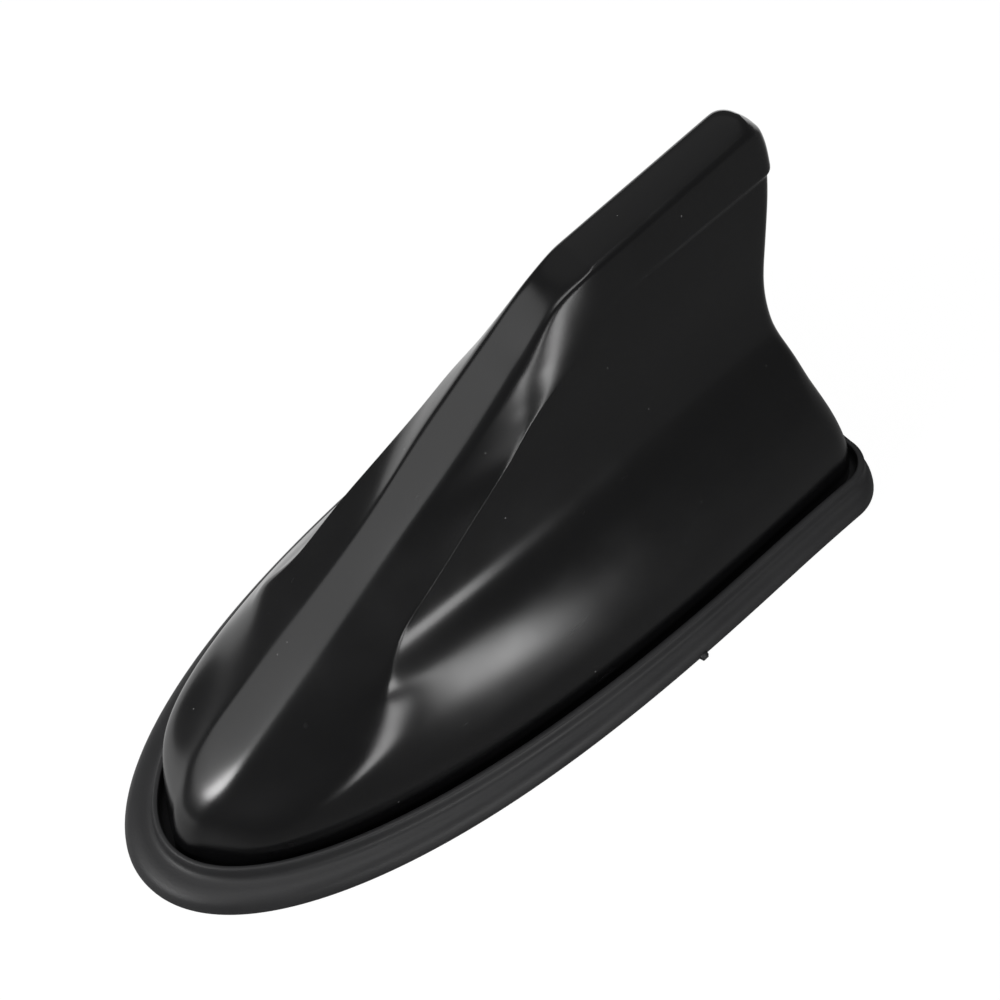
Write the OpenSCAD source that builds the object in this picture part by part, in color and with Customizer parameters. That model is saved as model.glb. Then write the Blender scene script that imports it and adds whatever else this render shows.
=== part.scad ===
// Shark fin roof aerial for a car: glossy cover on a rubber skirt, with the
// receiving boards inside. Millimetres, +Z up, nose towards -X, tail towards +X.
// The origin is the middle of the underside of the skirt.

/* [Overall] */
// Length of the rubber skirt, nose to tail
base_len = 147; // [140:1:158]
// Width of the rubber skirt at its widest
base_w = 74.5; // [71:0.5:80]
// Height from the car roof to the top of the fin at its tip
total_h = 68.6; // [65:0.2:75]

/* [Cover] */
// Wall of the moulded cover, measured level
cover_wall = 2; // [1.6:0.1:2.4]
// How far the inside of the roof of the cover is lowered below the outside
cover_roof = 1.5; // [1.2:0.1:2]
// Proud step along the lower crease of the hood
hood_step = 0.8; // [0.4:0.1:1]
// Radius of the cover's tail corners at the bottom rim
tail_corner = 5; // [3.5:0.5:6]
// Diameter of the screw bosses inside the cover
boss_d = 6; // [5.5:0.5:7]

/* [Skirt] */
// Thickness of the flange that lies between cover and roof
flange_t = 1.2; // [1:0.1:1.6]
// Top of the upright lip above the car roof
lip_top = 5.2; // [4.6:0.1:6]
// Thickness of the upright lip
lip_t = 1; // [0.8:0.1:1.2]
// Open gap between lip and cover along the sides at the tail
lip_gap = 2.2; // [1.6:0.1:2.6]
// Width of the flange inside the foot of the cover
flange_in = 7; // [6:0.5:8]
// Height of the stub that the mould's gate leaves on the rim
nub_h = 0.9; // [0.6:0.1:1.2]

/* [Base plate] */
// Thickness of the base plate
plate_t = 2.4; // [2:0.1:3]
// Clearance all round between the base plate and the inside of the cover
plate_gap = 0.4; // [0.3:0.1:0.8]
// Height of the strengthening ribs on top of the plate
rib_h = 2; // [1:0.5:3]
// Thickness of the strengthening ribs
rib_t = 1.2; // [1:0.1:1.6]
// Inner diameter of the cable outlet in the grommet
cable_d = 5; // [4:0.1:6]
// Wall of the grommet around the cable
grommet_wall = 1.6; // [1.4:0.1:2]

/* [Screws] */
// Thread diameter of the self-tapping cover screws
screw_d = 2.9; // [2.6:0.1:3.2]
// Head diameter of the cover screws
screw_head_d = 5.4; // [5:0.1:6]
// Length of a cover screw under the head
screw_len = 8; // [6:0.5:10]
// Pilot hole in the bosses is smaller than the thread by this
pilot_under = 0.5; // [0.3:0.1:0.7]
// Clearance of the screws in the holes of the plate
screw_gap = 0.2; // [0.1:0.05:0.3]

/* [Boards] */
// Length of the level amplifier board
board_l = 66; // [60:1:70]
// Width of the level amplifier board
board_w = 30; // [26:1:32]
// Thickness of both boards
board_t = 1.6; // [1.2:0.1:1.6]
// Height of the posts that carry the level board
post_h = 5; // [4:0.5:5.5]
// Room between the top of the upright board and the highest point of the fin
fin_board_room = 16.4; // [14.4:0.2:22]
// Length of the upright board at its foot
fin_board_l = 58; // [50:1:62]
// Width of the conductor printed on the upright board
track_w = 1.4; // [1:0.1:1.8]
// Height of the screening can
can_h = 4; // [3:0.5:5]
// Length of the foam block on top of the upright board
foam_l = 19; // [14:1:22]
// Height of the foam block
foam_h = 11; // [8:0.5:11.5]
// Room between the foam block and the inside of the fin
foam_gap = 0.7; // [0.6:0.1:1.5]

/* [Coil] */
// Outer diameter of the loading coil
coil_d = 6; // [5:0.5:7]
// Wire of the loading coil
coil_wire = 0.8; // [0.6:0.1:1]
// Number of turns of the loading coil
coil_turns = 6; // [4:1:8]

/* [Hidden] */
// Order in which the pieces are made

// The drawn shape is 147 long, 74.5 wide and 68.6 high; these stretch it.
SX = base_len / 147;
SY = base_w / 74.5;
SZ = total_h / 68.6;
MID = 147 / 2;
EPS = 0.01;

// Heights of the stack above the car roof
plate_z = flange_t;
plate_top = plate_z + plate_t;
board_z = plate_top + post_h;
board_top = board_z + board_t;
can_z = board_top;

// Colours of the pieces
GLOSS = [0.04, 0.04, 0.045];
RUBBER = [0.10, 0.10, 0.10];
PLASTIC = [0.16, 0.16, 0.17];
FOAM = [0.22, 0.22, 0.22];
STEEL = [0.72, 0.73, 0.74];
BOARD = [0.05, 0.32, 0.16];
COPPER = [0.80, 0.48, 0.25];
TIN = [0.80, 0.80, 0.80];

// Profile curves: [height, value] pairs, drawn for the 147 long shape.
// Front edge of the cover: nose, then the sloping spine of the hood
FRONT = [[0, 7], [4, 7.4], [8, 8.5], [11.5, 10.4], [14.5, 13.4], [17, 17.1],
         [20, 22.3], [26, 33.5], [36, 52], [48, 71.5], [58, 87], [65, 95.5],
         [67, 99.5], [68.6, 105]];
// Rear edge of the cover: upright foot, hollow back, overhanging tip
REAR = [[0, 144.2], [6, 144.1], [14, 142.9], [22, 140.8], [30, 139.4],
        [38, 139.9], [47, 142.8], [55, 145.6], [60, 146.6], [66, 146.2],
        [68.6, 144]];
// Half width of the cover towards the tail: bell, then the flank of the fin
SIDE = [[0, 30.6], [6, 30.2], [11, 28.9], [15, 27], [20, 24], [24, 20.9], [27, 17.9],
        [29, 15.3], [30.5, 13.6], [33, 12.2], [40, 10.4], [50, 8.4], [58.4, 6.1]];
// Half width of the crest above the crease
CREST = [[58.4, 6.1], [59.2, 6.8], [63, 5.8], [67, 4.5], [68.2, 3.9], [68.6, 3.3]];
// Where the facet beside the spine ends, measured along the length
CREASE = [[0, 11], [4, 12], [13, 19], [20, 36], [28, 44.5], [34, 54.5], [40, 66],
          [46, 78], [52, 86.5], [56, 94.5], [58, 103], [60, 105], [64, 104], [68.6, 108]];
// The spine and the crease once more, as heights over the length, where the
// hood turns into the crest
SPINE = [[52, 36], [71.5, 48], [87, 58], [95.5, 65], [99.5, 67], [105, 68.6], [112, 68.6]];
LEDGE = [[54.5, 34], [66, 40], [78, 46], [86.5, 52], [94.5, 56], [103, 58.4],
         [108, 59.1], [112, 59.2]];
// Half width of the flat band along the spine
BAND = [[0, 3], [18, 4.4], [36, 3.5], [46, 4.1], [58, 4.1], [64, 3.7], [68.6, 3.3]];

// Value of a profile at height h, through its points without a kink
function slope(p, i) =
    i <= 0 ? (p[1][1] - p[0][1]) / (p[1][0] - p[0][0]) :
    i >= len(p) - 1 ? (p[i][1] - p[i - 1][1]) / (p[i][0] - p[i - 1][0]) :
    (p[i + 1][1] - p[i - 1][1]) / (p[i + 1][0] - p[i - 1][0]);
function seg(p, h, i = 0) = i >= len(p) - 2 || h < p[i + 1][0] ? i : seg(p, h, i + 1);
function hermite(a, b, ma, mb, w, t) =
    a * (1 + 2 * t) * (1 - t) * (1 - t) + b * t * t * (3 - 2 * t)
    + w * ma * t * (1 - t) * (1 - t) - w * mb * t * t * (1 - t);
function at(p, h) =
    let (i = seg(p, h), w = p[i + 1][0] - p[i][0], t = (h - p[i][0]) / w)
    hermite(p[i][1], p[i + 1][1], slope(p, i), slope(p, i + 1), w, min(1, max(0, t)));
function ease(t) = let (c = min(1, max(0, t))) c * c * (3 - 2 * c);

// Half width of the bell at height h and length x: a bullet in plan
function bullet(h, x) =
    let (e = 2 + 0.35 * ease((h - 4) / 8))
    x >= 118 ? 1 : pow(1 - pow(min(1, (118 - x) / 111), 2.4), 1 / e);
function width(h) = h < 58.4 ? at(SIDE, h) : at(CREST, h);
function smin(a, b, p) = a / pow(1 + pow(a / b, p), 1 / p);
// How far the edge of the band lies behind its middle
function lead(h) = 0.3 + 0.9 * ease((20 - h) / 8);

// Half width of the hood and crest at height h and length x, from the crease
// up to the band, with the upper edge of the crest rounded
function hood(h, x) =
    let (top = min(68.6, at(SPINE, x)), low = at(LEDGE, x),
         t = min(1, max(0, (top - h) / (top - low))),
         foot = at(SIDE, min(58.4, low)) * bullet(h, x) + hood_step,
         edge = at(BAND, top) + 0.9 * ease((x - 94) / 12) * sqrt(min(1, max(0, (top - h) / 0.9))))
    edge + (foot - edge) * t;

// Half width of the cover at height h, x along the length, xc the crease
function flank(h, x, xf, xc) =
    let (b = at(BAND, h),
         x1 = xf + lead(h),
         s = hood_step * ease((h - 30) / 8),
         yc = width(h) * bullet(h, xc) + s,
         facet = b + (yc - b) * (x - x1) / (xc - x1),
         k = x <= xc || h > 58.4 ? ease((h - 42) / 8) : 0,
         f = k > 0 ? facet + k * (hood(h, x) - facet) : facet,
         g = width(h) * bullet(h, x) + (x <= xc ? s : 0),
         p = 8 + 60 * ease((h - 24) / 10))
    h >= 59.2 || h > 58.4 && x <= xc ? f : h > 58.4 ? min(f, g) : smin(f, g, p);

// The top of the fin rises towards the tip, so the levels bend with it
function rise(x) = 2.6 * (1 - min(1, max(0, (x - 105) / 38)));
function bend(h) = pow(min(1, max(0, (h - 56) / 12.6)), 1.5);

// Half of one level of the cover, from the nose round to the tail.
// Level h, drawn inset by d all round and lowered by v.
NF = 6;
NS = 16;
NC = 5;
function half_level(h, d, v) =
    let (xf = at(FRONT, h),
         xr = at(REAR, h),
         xc = max(xf + 4, at(CREASE, h)),
         x1 = xf + lead(h),
         b = at(BAND, h),
         r = min(tail_corner + ease((h - 20) / 10) * (3 - tail_corner), width(h) - 0.6),
         bow = 0.2 + 0.8 * ease((30 - h) / 20),
         xe = xr - r - bow,
         yr = flank(h, xe, xf, xc))
    [ for (q = concat(
        [[xf, 0], [xf + 0.28 * (x1 - xf), 0.6 * b], [x1, b]],
        [ for (i = [1:NF]) let (x = x1 + (xc - x1) * i / NF)
            [x, flank(h, x, xf, xc)] ],
        [ for (i = [0:NS]) let (x = xc + 0.7 + (xe - xc - 0.7) * pow(i / NS, 1.4))
            [x, flank(h, x, xf, xc)] ],
        [ for (i = [1:NC]) let (t = 90 * i / NC)
            [xe + r * sin(t), yr - r + r * cos(t)] ],
        [[xr - bow / 4, (yr - r) / 2], [xr, 0]]))
      let (px = q[0] + d * (1 - 2 * ease((q[0] - xf) / (xr - xf))),
           py = max(0, q[1] - d * min(1, q[1] / 3)))
      [SX * (px - MID), SY * py, SZ * (h - rise(q[0]) * bend(h)) - v] ];

// Whole level: one side, then the other side back to the nose
function level(h, d = 0, v = 0) =
    let (a = half_level(h, d, v), n = len(a))
    concat(a, [ for (i = [n - 2:-1:1]) [a[i][0], -a[i][1], a[i][2]] ]);

// Skin between two stacks of levels; flip turns it inside out
function skin(k0, k1, n, flip) =
    [ for (k = [k0:k1 - 1]) for (i = [0:n - 1])
        let (j = (i + 1) % n, a = k * n + i, b = k * n + j, c = a + n, e = b + n)
        each flip ? [[a, b, e], [a, e, c]] : [[a, e, b], [a, c, e]] ];
// Lid across one level, joining the two sides
function lid(k, n, flip) =
    let (o = k * n, m = n / 2)
    [ for (i = [0:m - 1])
        let (a = o + i, b = o + i + 1, c = o + (n - i) % n, e = o + (n - i - 1))
        each concat(i == 0 ? [] : [flip ? [a, b, c] : [a, c, b]],
                    i == m - 1 ? [] : [flip ? [c, b, e] : [c, e, b]]) ];

// Levels of the outside and of the inside of the cover
OUT_H = [flange_t / SZ, 4, 6, 8.5, 11, 13.5, 16, 18, 20, 22, 24, 26, 27.7, 29.2, 30.5, 32.5, 35,
         38.5, 42, 46, 50, 53, 55.5, 57, 57.8, 58.4, 58.8, 59.3, 61, 63, 65, 66.3, 67.3,
         68.1, 68.6];
IN_H = [flange_t / SZ, 6, 10, 14, 18, 22, 26, 29, 32, 36, 42, 49, 55, 58.3, 59.2, 63, 66.5];

// Skirt and plate outlines: nose x, tail x, half width, tail corner, two powers
function plan_half(nose, tail, half, corner, e1, e2) =
    let (side = half + 0.8)
    concat(
        [ for (i = [0:12]) let (t = 90 * pow(i / 12, 1.15))
            [118 - (118 - nose) * pow(cos(t), 2 / e1), half * pow(sin(t), 2 / e2)] ],
        [ for (i = [1:2]) let (x = 118 + (tail - 1.6 - corner - 118) * i / 2)
            [x, half + 0.8 * pow((x - 118) / (tail - 118), 2)] ],
        [ for (i = [1:5]) let (t = 18 * i)
            [tail - 1.6 - corner + corner * sin(t), side - 0.2 - corner + corner * cos(t)] ],
        [[tail - 0.4, side / 2], [tail, 0]]);
function plan(nose, tail, half, corner, e1 = 2.4, e2 = 2) =
    let (a = plan_half(nose, tail, half, corner, e1, e2), n = len(a))
    [ for (q = concat(a, [ for (i = [n - 2:-1:1]) [a[i][0], -a[i][1]] ]))
        [SX * (q[0] - MID), SY * q[1]] ];

// fin_cover: the glossy moulded housing, open underneath
module fin_cover() {
    n = len(level(10));
    no = len(OUT_H);
    ni = len(IN_H);
    pts = concat(
        [ for (h = OUT_H) each level(h) ],
        [ for (i = [0:ni - 1]) each level(IN_H[i] + (i == 0 ? 0 : cover_roof / SZ),
                                          cover_wall, i == 0 ? 0 : cover_roof) ]);
    rim = [ for (i = [0:n - 1]) let (j = (i + 1) % n, o = no * n)
        each [[i, o + j, j], [i, o + i, o + j]] ];
    faces = concat(skin(0, no - 1, n, true), lid(no - 1, n, true), rim,
                   skin(no, no + ni - 1, n, false), lid(no + ni - 1, n, false));
    color(GLOSS) union() {
        polyhedron(points = pts, faces = faces, convexity = 6);
        for (p = BOSSES) cover_boss(p);
    }
}

// Screw places: x, y and the height inside the cover that the boss reaches
BOSSES = [[-41 * SX, 7.5 * SY, 20.5 * SZ], [-41 * SX, -7.5 * SY, 20.5 * SZ],
          [58 * SX, 20 * SY, 20.5 * SZ], [58 * SX, -20 * SY, 20.5 * SZ]];
module cover_boss(p) {
    translate([p[0], p[1], plate_top])
        difference() {
            cylinder(d = boss_d, h = p[2] - plate_top, $fn = 32);
            translate([0, 0, -EPS])
                cylinder(d = screw_d - pilot_under, h = screw_len + 1, $fn = 32);
        }
}

// skirt: soft rubber, a rounded outer slope, an upright lip and a flat flange,
// with the stub of the mould's gate on the rim
nub_x = 21 * SX;
nub_out = 0.9;
module skirt() {
    rings = [
        [plan(0, 147, 36.45, 9.5, 2.67, 2.07), 0],
        [plan(0.1, 146.95, 36.35, 9.4, 2.67, 2.07), 0.9],
        [plan(0.9, 146.8, 35.8, 9, 2.65, 2.06), 2.1],
        [plan(2.6, 146.6, 34.9, 8.4, 2.6, 2.05), 2.9],
        [plan(5.2, 146.3, 33.5, 7, 2.5, 2), 3.3],
        [plan(5.6, 146.15, 31.8 + lip_t + 0.3, 6.4, 2.42, 2), lip_top - 0.3],
        [plan(5.9, 146, 31.8 + lip_t, 6.3, 2.4, 2), lip_top],
        [plan(6.5, 145.3, 31.9, 6, 2.4, 2), lip_top],
        [plan(6.6, 145.2, 29.6 + lip_gap, 5.8, 2.4, 2), lip_top - 0.4],
        [plan(6.6, 145.2, 29.6 + lip_gap, 5.8, 2.4, 2), flange_t],
        [plan(7.1 + flange_in, 144 - flange_in, 30.6 - flange_in, 5, 2.4, 2), flange_t],
        [plan(7.1 + flange_in, 144 - flange_in, 30.6 - flange_in, 5, 2.4, 2), 0]];
    n = len(rings[0][0]);
    m = len(rings);
    pts = [ for (r = rings) for (q = r[0]) [q[0], q[1], r[1]] ];
    faces = concat(skin(0, m - 1, n, true),
        [ for (i = [0:n - 1]) let (j = (i + 1) % n, o = (m - 1) * n)
            each [[i, o + j, j], [i, o + i, o + j]] ]);
    color(RUBBER) union() {
        polyhedron(points = pts, faces = faces, convexity = 6);
        translate([nub_x, -36 * SY, 0]) linear_extrude(nub_h)
            polygon([[-0.9, 0], [0.9, 0], [0.5, -nub_out], [-0.7, -nub_out]]);
    }
}

// Outline of the inside of the cover at the top of the plate, less the gap
function plate_outline() =
    [ for (q = level(plate_top / SZ + 1.5, cover_wall + plate_gap, 0)) [q[0], q[1]] ];

// Places of the posts and screws of the level board, about its middle
BX = 9 * SX;
POSTS = [ for (i = [-1, 1]) for (j = [-1, 1])
    [BX + i * (board_l / 2 - 4), j * (board_w / 2 - 4)] ];
CABLE_X = -30 * SX;
cable_hole_d = cable_d + 2 * grommet_wall;
post_pilot = 2;

// base_plate: moulded plate that closes the cover and carries the boards
module base_plate() {
    color(PLASTIC) difference() {
        union() {
            translate([0, 0, plate_z]) linear_extrude(plate_t) polygon(plate_outline());
            for (p = POSTS) translate([p[0], p[1], plate_top - EPS])
                cylinder(d = 6, h = post_h + EPS, $fn = 32);
            translate([CABLE_X, 0, plate_top - EPS])
                cylinder(d = cable_hole_d + 3, h = rib_h + EPS, $fn = 48);
            for (j = [-1, 1]) translate([BX - board_l / 2 + 6, j * 17 - rib_t / 2, plate_top - EPS])
                cube([board_l - 12, rib_t, rib_h + EPS]);
            for (i = [-1, 0, 1]) translate([BX + i * 20 - rib_t / 2, -17, plate_top - EPS])
                cube([rib_t, 34, rib_h + EPS]);
        }
        for (p = POSTS) translate([p[0], p[1], plate_top + 0.6])
            cylinder(d = post_pilot, h = post_h + 1, $fn = 32);
        translate([CABLE_X, 0, plate_z - 1])
            cylinder(d = cable_hole_d, h = plate_t + rib_h + 2, $fn = 48);
        for (p = BOSSES) translate([p[0], p[1], plate_z - 1])
            cylinder(d = screw_d + 2 * screw_gap, h = plate_t + 2, $fn = 32);
    }
}

// adhesive_pad: foam tape that holds the aerial to the roof
module adhesive_pad() {
    color(FOAM) linear_extrude(plate_z) polygon(plan(52, 127, 19, 6));
}

// Pan head screw with a cross slot, head down, tip up
module pan_screw(d, head_d, head_h, len) {
    difference() {
        union() {
            translate([0, 0, 0.3]) cylinder(d = head_d, h = head_h - 0.3, $fn = 32);
            cylinder(d1 = head_d - 0.8, d2 = head_d, h = 0.3 + EPS, $fn = 32);
            translate([0, 0, head_h - EPS]) cylinder(d = d, h = len - 1 + EPS, $fn = 32);
            translate([0, 0, head_h + len - 1 - EPS])
                cylinder(d1 = d, d2 = 0.8, h = 1 + EPS, $fn = 32);
        }
        for (a = [0, 90]) rotate([0, 0, a]) translate([-head_d * 0.3, -0.3, -EPS])
            cube([head_d * 0.6, 0.6, 0.7]);
    }
}

// cover_screws: four self-tapping screws from below into the bosses
cover_head_h = 1.1;
module cover_screws() {
    color(STEEL) for (p = BOSSES)
        translate([p[0], p[1], plate_z - cover_head_h])
            pan_screw(screw_d - pilot_under, screw_head_d, cover_head_h, plate_t + screw_len);
}

// cable_grommet: rubber spool in the plate where the lead leaves
module cable_grommet() {
    r0 = cable_d / 2;
    r1 = cable_hole_d / 2;
    color(RUBBER) translate([CABLE_X, 0, 0]) rotate_extrude($fn = 48)
        polygon([[r0, plate_z - 0.9], [r1 + 1.6, plate_z - 0.9], [r1 + 1.6, plate_z],
                 [r1, plate_z], [r1, plate_top + rib_h], [r1 + 1.2, plate_top + rib_h],
                 [r1 + 0.7, plate_top + rib_h + 1], [r0, plate_top + rib_h + 1]]);
}

// amp_board: level board with the receiving circuits
module amp_board() {
    color(BOARD) difference() {
        translate([BX - board_l / 2, -board_w / 2, board_z]) cube([board_l, board_w, board_t]);
        for (p = POSTS) translate([p[0], p[1], board_z - 1])
            cylinder(d = 2.6, h = board_t + 2, $fn = 32);
    }
}

// board_screws: four small screws from above into the posts
module board_screws() {
    color(STEEL) for (p = POSTS)
        translate([p[0], p[1], board_top + 1.2]) rotate([180, 0, 0])
            pan_screw(post_pilot, 4.2, 1.2, board_t + 3.6);
}

// shield_can: tinned box over the tuner, open below, with a row of vents
can_x = BX - 9;
module shield_can() {
    color(TIN) difference() {
        translate([can_x, 3.2, can_z]) cube([28, 11, can_h]);
        translate([can_x + 0.3, 3.5, can_z - 1]) cube([27.4, 10.4, can_h + 0.7]);
        for (i = [0:4]) translate([can_x + 4 + 5 * i, 8.7, can_z + can_h - 1])
            cylinder(d = 1.6, h = 2, $fn = 24);
    }
}

// amp_chip: the tuner chip under the can
module amp_chip() {
    color(PLASTIC) union() {
        translate([can_x + 10, 5.7, can_z]) cube([6, 6, 0.9]);
        for (i = [0:5]) translate([can_x + 10.5 + 0.9 * i, 5.2, can_z]) cube([0.4, 7, 0.2]);
    }
}

// chip_capacitors: six small blocks beside the upright board
module chip_capacitors() {
    color([0.60, 0.46, 0.30]) for (i = [0:5])
        translate([BX - 14 + 5 * i, -12 + (i % 2) * 2.5, board_top]) cube([2, 1.25, 1]);
}

// chip_inductors: three wound blocks beside the upright board
module chip_inductors() {
    color([0.20, 0.20, 0.22]) for (i = [0:2])
        translate([BX - 12 + 9 * i, -7.2, board_top]) union() {
            cube([3.2, 0.6, 2.4]);
            translate([0, 1.9, 0]) cube([3.2, 0.6, 2.4]);
            translate([0.3, 0.5, 0.3]) cube([2.6, 1.5, 1.8]);
        }
}

// lead_socket: coaxial socket that takes the lead, facing the cable outlet
socket_x = BX - 31;
module lead_socket() {
    color(TIN) difference() {
        union() {
            translate([socket_x, -3.5, board_top]) cube([6, 7, 6.6]);
            translate([socket_x - 5, 0, board_top + 3.3]) rotate([0, 90, 0])
                cylinder(d = 5.6, h = 5.1, $fn = 48);
        }
        translate([socket_x - 6, 0, board_top + 3.3]) rotate([0, 90, 0])
            cylinder(d = 4.2, h = 8, $fn = 48);
    }
    color(COPPER) translate([socket_x - 3.5, 0, board_top + 3.3]) rotate([0, 90, 0])
        cylinder(d = 1, h = 6, $fn = 24);
}

// fin_board: upright board that fills the fin
fin_x = BX - 13;
fin_top = total_h - fin_board_room;
module fin_board() {
    w = fin_board_l;
    color(BOARD) difference() {
        translate([0, board_t / 2, 0]) rotate([90, 0, 0]) linear_extrude(board_t)
            polygon([[fin_x, board_top], [fin_x + w, board_top], [fin_x + w + 1, fin_top - 4],
                     [fin_x + w - 3, fin_top], [fin_x + 24, fin_top], [fin_x, board_top + 18]]);
        for (x = [6, w - 8]) translate([fin_x + x, 0, board_top + 7]) rotate([90, 0, 0])
            cylinder(d = 2.4, h = 6, center = true, $fn = 32);
    }
}

// antenna_track: printed conductor that runs to and fro over the upright board
module antenna_track() {
    y = -board_t / 2 - 0.15;
    n = 6;
    step = 5.2;
    x0 = fin_x + 22;
    lo = board_top + 14;
    hi = fin_top - 7;
    color(COPPER) translate([x0, y, 0]) union() {
        for (i = [0:n - 1]) translate([i * step, 0, lo]) cube([track_w, 0.15, hi - lo]);
        for (i = [0:n - 2]) translate([i * step, 0, i % 2 == 0 ? hi - track_w : lo])
            cube([step + track_w, 0.15, track_w]);
        translate([0, 0, board_top + 6]) cube([track_w, 0.15, lo - board_top - 5]);
    }
}

// board_holder: two notched rails, one on each side of the foot of the upright
// board, that end flush with the level board
module board_holder() {
    l = BX + board_l / 2 - fin_x - 2;
    color(PLASTIC) difference() {
        translate([fin_x + 2, -2.6, board_top]) cube([l, 5.2, 4.5]);
        translate([fin_x, -board_t / 2, board_top - 1]) cube([l + 4, board_t, 8]);
        for (i = [0, 1]) translate([fin_x + 11 + 14 * i, -4, board_top + 2.5]) cube([8, 8, 4]);
    }
}

// loading_coil: wire wound in an open helix between the two boards
COIL = [BX + 24, -7, board_top];
module loading_coil() {
    r = (coil_d - coil_wire) / 2;
    k = 16;
    steps = coil_turns * k;
    pitch = coil_wire * 1.5;
    ring = 8;
    pts = [ for (i = [0:steps]) let (t = 360 * i / k)
        for (j = [0:ring - 1]) let (u = 360 * j / ring)
            [(r + coil_wire / 2 * cos(u)) * cos(t), (r + coil_wire / 2 * cos(u)) * sin(t),
             coil_wire / 2 + pitch * i / k + coil_wire / 2 * sin(u)] ];
    ends = [ [ for (j = [ring - 1:-1:0]) j ],
             [ for (j = [0:ring - 1]) steps * ring + j ] ];
    sides = [ for (i = [0:steps - 1]) for (j = [0:ring - 1])
        let (a = i * ring + j, b = i * ring + (j + 1) % ring)
        each [[a, b, b + ring], [a, b + ring, a + ring]] ];
    color(COPPER) translate(COIL) polyhedron(points = pts, faces = concat(ends, sides), convexity = 8);
}

// link_wire: stiff wire from the top of the coil to the printed conductor
module link_wire() {
    r = (coil_d - coil_wire) / 2;
    z = coil_wire * 1.5 * coil_turns + coil_wire * 1.5;
    color(COPPER) translate(COIL) union() {
        translate([r, 0, z]) rotate([-90, 0, 0])
            cylinder(d = coil_wire, h = 7 - board_t / 2, $fn = 24);
        translate([r, 0.1, z]) rotate([90, 0, 0]) cylinder(d = coil_wire, h = 1, $fn = 24);
    }
}

// crystal_can: the oval metal can of the crystal
module crystal_can() {
    color(STEEL) translate([BX - 19, 8, board_top]) union() {
        translate([-3, -2.3, 0]) cube([6, 4.6, 3.4]);
        for (i = [-1, 1]) translate([i * 3, 0, 0]) cylinder(d = 4.6, h = 3.4, $fn = 32);
        translate([-3, -2.6, 0]) cube([6, 5.2, 0.5]);
    }
}

// foam_block: slotted foam that steadies the upright board under the roof
module foam_block() {
    z = fin_top - 6;
    lo = SY * width(z / SZ) - cover_wall - foam_gap;
    hi = SY * width((z + foam_h) / SZ) - cover_wall - foam_gap;
    color(FOAM) difference() {
        translate([fin_x + 32, 0, z]) rotate([90, 0, 90]) linear_extrude(foam_l)
            polygon([[-lo, 0], [lo, 0], [hi, foam_h], [-hi, foam_h]]);
        translate([fin_x + 30, -board_t / 2, z - 1]) cube([foam_l + 4, board_t, 7]);
    }
}

// earth_spring: bent strip that presses on the underside of the board
module earth_spring() {
    h = post_h;
    color(STEEL) translate([BX - 10, 3, plate_top]) rotate([90, 0, 0]) linear_extrude(4)
        polygon([[0, 0], [8, 0], [8, 0.3], [1.2, 0.3], [7.5, h - 0.9], [9, h - 0.3], [11, h - 0.8],
                 [11, h - 0.5], [9, h], [7.3, h - 0.5], [0, 0.4]]);
}

// solder_joints: small cones under the socket and the feet of the coil
module solder_joints() {
    color(TIN) for (p = [[socket_x + 1, -2.5], [socket_x + 5, -2.5], [socket_x + 1, 2.5],
                         [socket_x + 5, 2.5], [BX + 24, -7], [BX - 21.4, 8], [BX - 16.6, 8]])
        translate([p[0], p[1], board_z - 0.8]) cylinder(d1 = 0.7, d2 = 1.8, h = 0.8, $fn = 24);
}

fin_cover();
skirt();
base_plate();
adhesive_pad();
cover_screws();
cable_grommet();
amp_board();
board_screws();
shield_can();
amp_chip();
chip_capacitors();
chip_inductors();
lead_socket();
fin_board();
antenna_track();
board_holder();
loading_coil();
link_wire();
crystal_can();
foam_block();
earth_spring();
solder_joints();
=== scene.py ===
"""Looks of a shark fin roof aerial: glossy cover, rubber skirt and the boards inside."""

import math

import bpy
import numpy as np
from mathutils import Matrix, Vector


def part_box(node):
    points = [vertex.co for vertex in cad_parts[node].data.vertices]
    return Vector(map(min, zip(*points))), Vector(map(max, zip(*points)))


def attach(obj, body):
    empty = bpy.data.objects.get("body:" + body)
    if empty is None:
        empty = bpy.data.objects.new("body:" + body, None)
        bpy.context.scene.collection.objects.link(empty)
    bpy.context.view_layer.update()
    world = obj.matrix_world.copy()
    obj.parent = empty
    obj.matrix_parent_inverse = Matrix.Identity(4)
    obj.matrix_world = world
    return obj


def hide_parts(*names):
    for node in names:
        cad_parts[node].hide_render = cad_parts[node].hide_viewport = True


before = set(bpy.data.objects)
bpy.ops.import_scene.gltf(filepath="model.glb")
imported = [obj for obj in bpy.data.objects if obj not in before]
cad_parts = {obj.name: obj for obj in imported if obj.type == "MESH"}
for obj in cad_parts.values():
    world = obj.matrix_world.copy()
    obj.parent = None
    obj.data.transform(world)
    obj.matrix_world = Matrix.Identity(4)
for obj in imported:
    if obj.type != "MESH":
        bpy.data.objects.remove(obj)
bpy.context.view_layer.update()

# Fin cover
# One glossy black ABS moulding, 2 mm thick and open underneath, pulled onto the base plate by four
# screws. It is a stack of level outlines like the CAD solid, only finer and with polished edges.

MM = 0.001
COVER_BLACK = (0.0035, 0.0035, 0.0038, 1)
DUST_GREY = (0.16, 0.16, 0.16, 1)

# Places along the cover count from the skirt's nose, and DRAWN_MIDDLE comes off them at the end.
DRAWN_MIDDLE = 73.5
COVER_WALL = 2.0
COVER_ROOF = 1.5
NARROW = 3
RIM_HEIGHT = 1.2
CREST_FOOT = 58.4
CREST_EDGE = 59.2
COVER_TOP = 68.6
HOOD_STEP = 0.8
NOSE_END = 118
NOSE_LENGTH = 111
NOSE_POWER = 2.4
SHORTEST_FACET = 4
TAIL_FLAT = 0.6

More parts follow.
